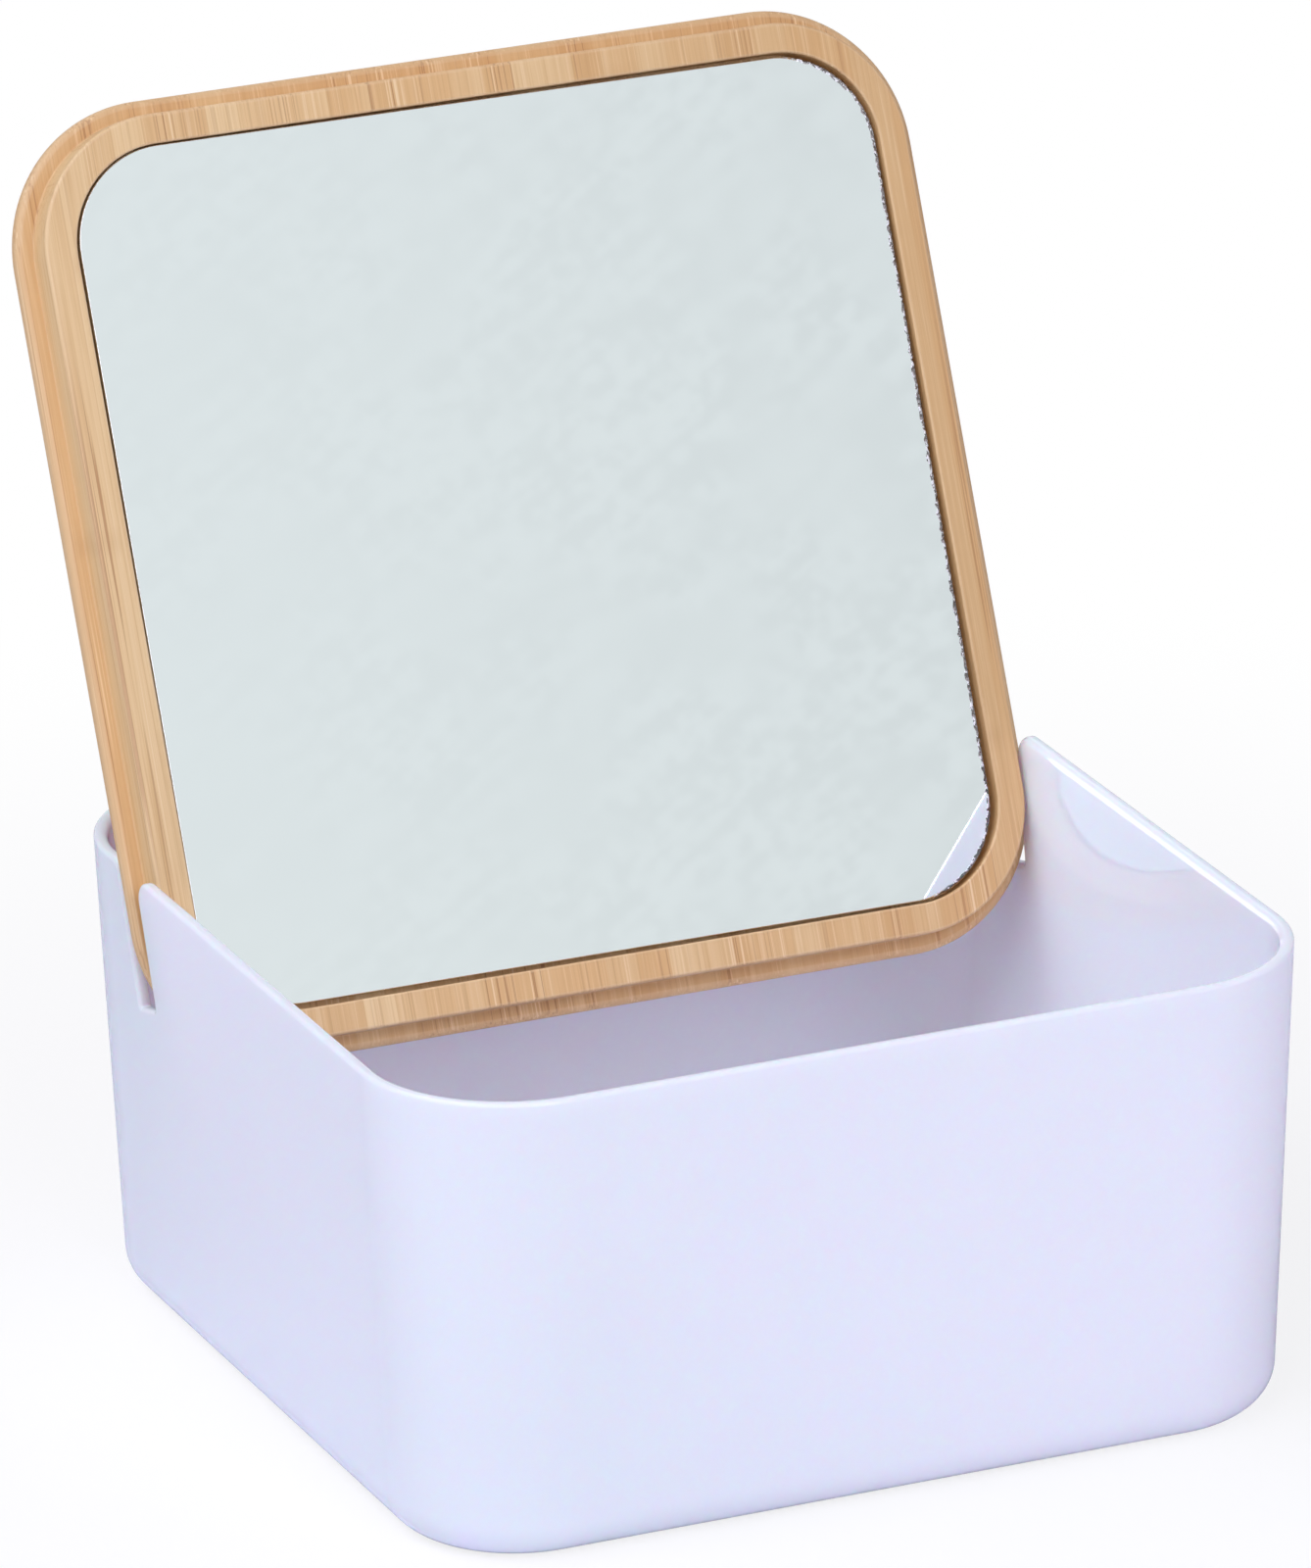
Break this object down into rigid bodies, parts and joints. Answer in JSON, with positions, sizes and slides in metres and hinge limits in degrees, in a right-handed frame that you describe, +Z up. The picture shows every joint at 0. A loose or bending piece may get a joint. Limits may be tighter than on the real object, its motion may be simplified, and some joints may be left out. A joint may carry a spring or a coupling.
{
  "type": "vanity box with mirror lid",
  "caption": "Square moulded box with rounded corners; its rebated bamboo lid carries a mirror and stands leaning in slots cut in the side walls.",
  "frame": {"origin": "middle of the flat face that the box rests on", "axes": "+Z up; +Y to the back, the way the standing mirror lid leans; +X to the right of someone who faces the mirror"},
  "size_m": [0.17, 0.1891, 0.2047],
  "materials": {
    "box_plastic": "fine satin moulding, white with a slight lavender tint",
    "bamboo": "sanded, thin matt lacquer, laminated strips running up the lid",
    "mirror": "silvered float glass with ground edges",
    "foam_tape": "plain closed-cell foam"
  },
  "bodies": {
    "box": {"box_shell": "box_plastic"},
    "lid": {"lid_board": "bamboo", "mirror_glass": "mirror", "mirror_tape": "foam_tape"}
  },
  "joints": [
    {"name": "lid_lift", "type": "slide", "parent": "box", "child": "lid", "axis": [0, 0.4026, 0.9154], "range_m": [0, 0.045]}
  ]
}
